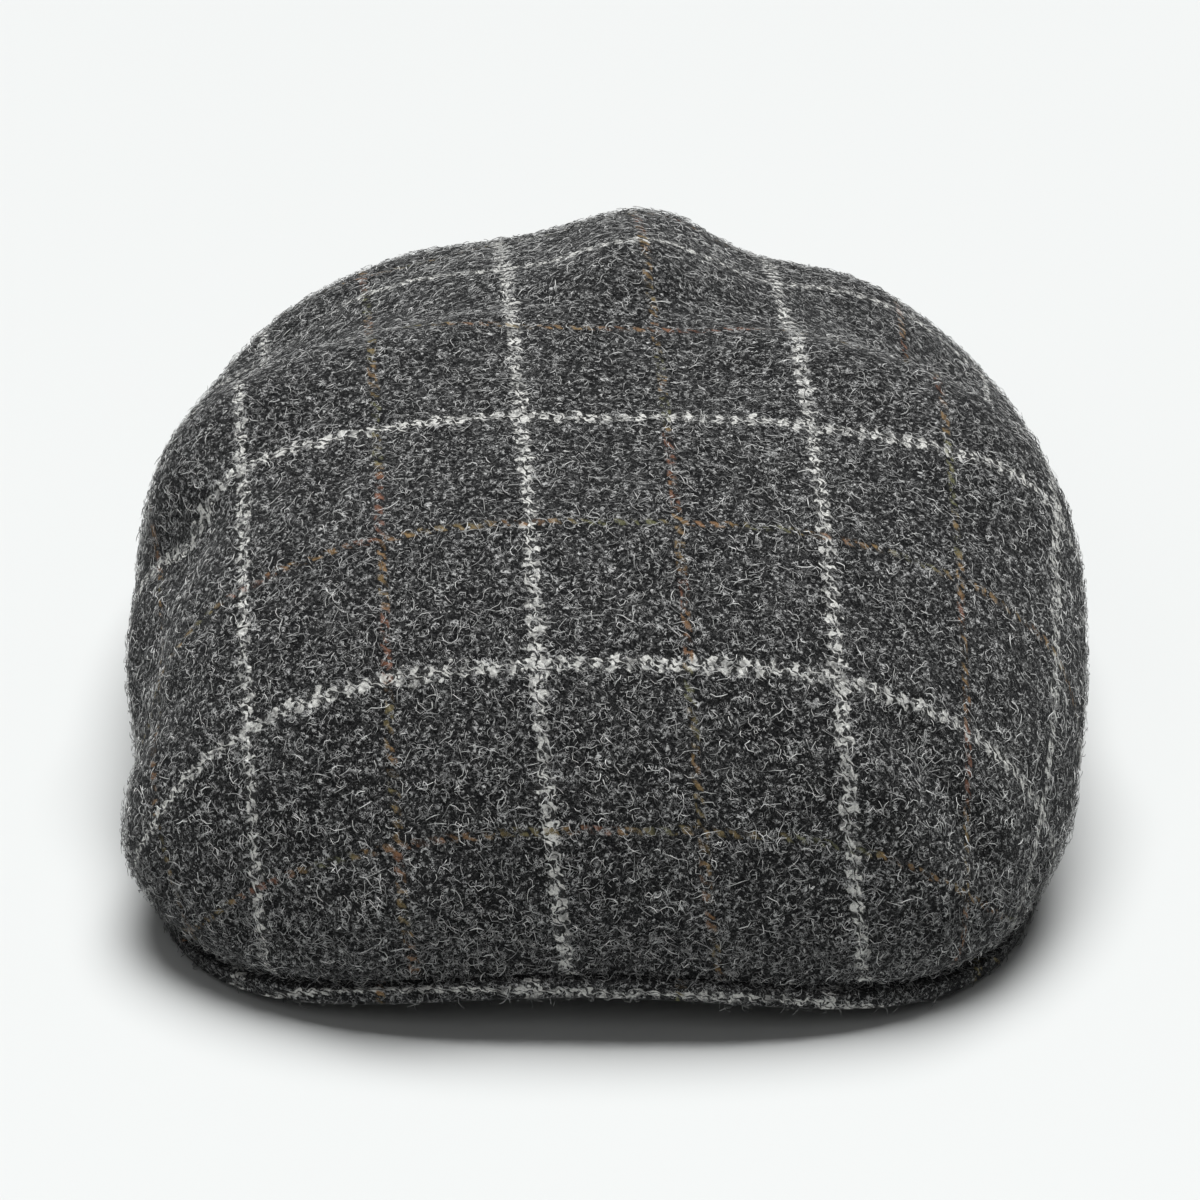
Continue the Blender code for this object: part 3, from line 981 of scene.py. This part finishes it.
# %% Grow the fibres
FINE = (0.00009, 0.00016)
for name, piece, count, seed, length, thickness, lift, wool, near_front_edge in (
    (
        "pale_fibres", crown, 9500, 1,
        (0.0014, 0.0044), (0.00008, 0.00014), (0.0001, 0.0008), pale_wool, False,
    ),
    (
        "mid_fibres", crown, 9500, 2,
        (0.0015, 0.0040), FINE, (0.0001, 0.0006), mid_wool, False,
    ),
    (
        "tufts", crown, 3200, 8,
        (0.0014, 0.0040), (0.00014, 0.00023), (0.0002, 0.0010), pale_wool, False,
    ),
    (
        "dark_fibres", crown, 5000, 3,
        (0.0018, 0.0045), FINE, (0.0001, 0.0009), dark_wool, False,
    ),
    (
        "edge_fibres", crown, 2600, 7,
        (0.0016, 0.0040), FINE, (0.0003, 0.0014), mid_wool, True,
    ),
    (
        "left_side_fibres", left_side, 3200, 4,
        (0.0015, 0.0040), (0.00009, 0.00015), (0.0001, 0.0007), mid_wool, False,
    ),
    (
        "right_side_fibres", right_side, 3200, 5,
        (0.0015, 0.0040), (0.00009, 0.00015), (0.0001, 0.0007), mid_wool, False,
    ),
    (
        "rim_fibres", peak, 4200, 6,
        (0.0012, 0.0036), FINE, (0.0001, 0.0010), mid_wool, False,
    ),
):
    fibres(name, piece, count, seed, length, thickness, lift, wool, near_front_edge)

# %% [markdown]
# ## Floor and light
# The cap stands on a white table, with white all round. One very large lamp stands high and a
# little behind it, which is why its shade falls short and dark in front of the peak. A weak lamp
# in front and a dim world lift the front a little.

# %% Floor
bpy.ops.object.select_all(action="DESELECT")
bpy.ops.mesh.primitive_plane_add(size=8.0, location=(0.0, 0.0, 0.0))
floor = bpy.context.object
floor.name = "floor"
floor_material = bpy.data.materials.new("white table")
floor_material.use_nodes = True
floor_tree = Tree(floor_material)
floor_place = floor_tree.node("ShaderNodeTexCoord").outputs["Object"]
floor_tone = floor_tree.noise(floor_place, 3.0, 2.0)
floor_tree.give(
    floor_tree.shader.inputs["Base Color"],
    floor_tree.mixed(floor_tone, (0.715, 0.73, 0.725, 1), (0.735, 0.75, 0.745, 1)),
)
floor_tree.shader.inputs["Roughness"].default_value = 0.6
floor_tree.shader.inputs["Specular IOR Level"].default_value = 0.0
floor.data.materials.append(floor_material)
floor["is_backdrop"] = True

# %% Lamps and world
LAMP_SPREAD = math.radians(40)  # as wide as it looks from the cap; this blurs the shade
LAMP_POWER = 3.72
LAMP_TILT = (math.radians(-13), math.radians(2), 0.0)
WORLD_LIGHT = 0.07
BACKDROP = (0.885, 0.905, 0.897, 1)  # what the camera sees behind the table


def soft_box(name, place, aim, size, power):
    bpy.ops.object.light_add(type="AREA", location=place)
    lamp = bpy.context.object
    lamp.name = name
    lamp.data.shape = "RECTANGLE"
    lamp.data.size = size[0]
    lamp.data.size_y = size[1]
    lamp.data.energy = power
    lamp.rotation_euler = (Vector(aim) - Vector(place)).to_track_quat("-Z", "Y").to_euler()


bpy.ops.object.light_add(type="SUN", location=(0.0, 0.0, 1.5))
sky_lamp = bpy.context.object
sky_lamp.name = "large lamp"
sky_lamp.data.angle = LAMP_SPREAD
sky_lamp.data.energy = LAMP_POWER
sky_lamp.rotation_euler = LAMP_TILT
soft_box("front", (-0.3, -1.2, 1.3), (0.0, 0.0, 0.05), (1.0, 0.8), 2.0)

world = bpy.data.worlds.new("studio")
bpy.context.scene.world = world
world.use_nodes = True
world_nodes = world.node_tree.nodes
world_nodes["Background"].inputs["Color"].default_value = (1.0, 1.0, 1.0, 1)
world_nodes["Background"].inputs["Strength"].default_value = WORLD_LIGHT
backdrop = world_nodes.new("ShaderNodeBackground")
backdrop.inputs["Color"].default_value = BACKDROP
backdrop.inputs["Strength"].default_value = 1.0
seen = world_nodes.new("ShaderNodeLightPath")
chosen = world_nodes.new("ShaderNodeMixShader")
world.node_tree.links.new(seen.outputs["Is Camera Ray"], chosen.inputs[0])
world.node_tree.links.new(world_nodes["Background"].outputs[0], chosen.inputs[1])
world.node_tree.links.new(backdrop.outputs[0], chosen.inputs[2])
world.node_tree.links.new(chosen.outputs[0], world_nodes["World Output"].inputs["Surface"])

# %% Measure and finish
visual_box = [list(corner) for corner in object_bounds()]
for axis in range(3):
    ends = [box[side][axis] for side in (0, 1) for box in (frame_box, visual_box)]
    print("XYZ"[axis], [round(end * 1000, 1) for end in ends])
